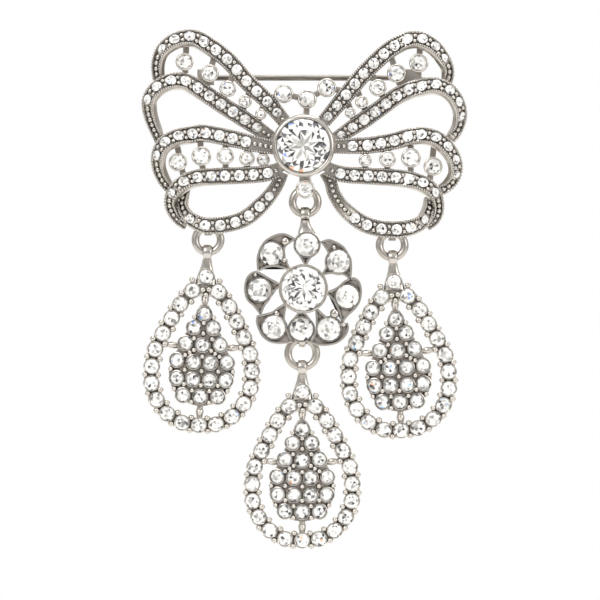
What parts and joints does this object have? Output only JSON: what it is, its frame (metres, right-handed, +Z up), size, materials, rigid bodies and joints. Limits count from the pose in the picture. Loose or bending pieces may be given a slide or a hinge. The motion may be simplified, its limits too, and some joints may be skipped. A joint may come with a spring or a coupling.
{
  "type": "brooch",
  "caption": "Bow-shaped brooch of stone-set ribbons, with a flower and teardrop pendants hung on rings and a hinged pin with a turning catch behind.",
  "frame": {"origin": "on the pin stem's axis, near the middle of the bow", "axes": "+X along the pin stem to its point, the viewer's right; +Z up; the stone-set front faces -Y"},
  "size_m": [0.0543, 0.0113, 0.0866],
  "materials": {
    "antique_silver": "antiqued rhodium plate",
    "dark_silver": "darkened rhodium plate",
    "crystal": "foil-backed cut glass"
  },
  "bodies": {
    "bow": {"bow_frame": "dark_silver", "ring_lugs": "dark_silver", "centre_bezel": "antique_silver", "centre_stone": "crystal", "left_ribbon_1": "antique_silver", "left_ribbon_2": "antique_silver", "left_ribbon_3": "antique_silver", "left_ribbon_4": "antique_silver", "right_ribbon_1": "antique_silver", "right_ribbon_2": "antique_silver", "right_ribbon_3": "antique_silver", "right_ribbon_4": "antique_silver", "left_ribbon_1_stones": "crystal", "left_ribbon_2_stones": "crystal", "left_ribbon_3_stones": "crystal", "left_ribbon_4_stones": "crystal", "right_ribbon_1_stones": "crystal", "right_ribbon_2_stones": "crystal", "right_ribbon_3_stones": "crystal", "right_ribbon_4_stones": "crystal", "crown_bezels": "antique_silver", "crown_stones": "crystal", "left_upper_bezels": "antique_silver", "left_upper_stones": "crystal", "left_lower_bezels": "antique_silver", "left_lower_stones": "crystal", "right_upper_bezels": "antique_silver", "right_upper_stones": "crystal", "right_lower_bezels": "antique_silver", "right_lower_stones": "crystal", "neck_bezel": "antique_silver", "neck_stone": "crystal", "hinge_bracket": "dark_silver", "hinge_rivet": "dark_silver", "catch_body": "dark_silver"},
    "pin": {"pin_stem": "antique_silver"},
    "rotor": {"catch_rotor": "antique_silver"},
    "left_link": {"left_ring": "antique_silver"},
    "right_link": {"right_ring": "antique_silver"},
    "flower_link": {"flower_ring": "antique_silver"},
    "lower_link": {"lower_ring": "antique_silver"},
    "flower": {"flower_frame": "antique_silver", "petal_stones": "crystal", "flower_bezel": "antique_silver", "flower_stone": "crystal"},
    "left_drop": {"left_drop_frame": "antique_silver", "left_drop_frame_stones": "crystal", "left_drop_dome": "antique_silver", "left_drop_dome_stones": "crystal"},
    "right_drop": {"right_drop_frame": "antique_silver", "right_drop_frame_stones": "crystal", "right_drop_dome": "antique_silver", "right_drop_dome_stones": "crystal"},
    "lower_drop": {"lower_drop_frame": "antique_silver", "lower_drop_frame_stones": "crystal", "lower_drop_dome": "antique_silver", "lower_drop_dome_stones": "crystal"}
  },
  "joints": [
    {"name": "pin_hinge", "type": "hinge", "parent": "bow", "child": "pin", "pos_m": [-0.0164, 0, 0], "axis": [0, 0, 1], "range_deg": [0, 75]},
    {"name": "catch_turn", "type": "hinge", "parent": "bow", "child": "rotor", "pos_m": [0.0174, 0, 0], "axis": [1, 0, 0], "range_deg": [-100, 0]},
    {"name": "left_link_swing", "type": "hinge", "parent": "bow", "child": "left_link", "pos_m": [-0.016, -0.0034, -0.025], "axis": [1, 0, 0], "range_deg": [-18, 18]},
    {"name": "left_drop_sway", "type": "hinge", "parent": "left_link", "child": "left_drop", "pos_m": [-0.016, -0.0034, -0.0271], "axis": [0, 1, 0], "range_deg": [-2, 30]},
    {"name": "right_link_swing", "type": "hinge", "parent": "bow", "child": "right_link", "pos_m": [0.0147, -0.0034, -0.0259], "axis": [1, 0, 0], "range_deg": [-18, 18]},
    {"name": "right_drop_sway", "type": "hinge", "parent": "right_link", "child": "right_drop", "pos_m": [0.0147, -0.0034, -0.028], "axis": [0, 1, 0], "range_deg": [-30, 2]},
    {"name": "flower_link_swing", "type": "hinge", "parent": "bow", "child": "flower_link", "pos_m": [0.0002, -0.0034, -0.0187], "axis": [1, 0, 0], "range_deg": [-15, 15]},
    {"name": "flower_sway", "type": "hinge", "parent": "flower_link", "child": "flower", "pos_m": [0.0002, -0.0034, -0.0208], "axis": [0, 1, 0], "range_deg": [-3, 3]},
    {"name": "lower_link_swing", "type": "hinge", "parent": "flower", "child": "lower_link", "pos_m": [-0.0003, -0.0034, -0.0437], "axis": [1, 0, 0], "range_deg": [-12, 12]},
    {"name": "lower_drop_sway", "type": "hinge", "parent": "lower_link", "child": "lower_drop", "pos_m": [-0.0003, -0.0034, -0.04605], "axis": [0, 1, 0], "range_deg": [-10, 10]}
  ]
}
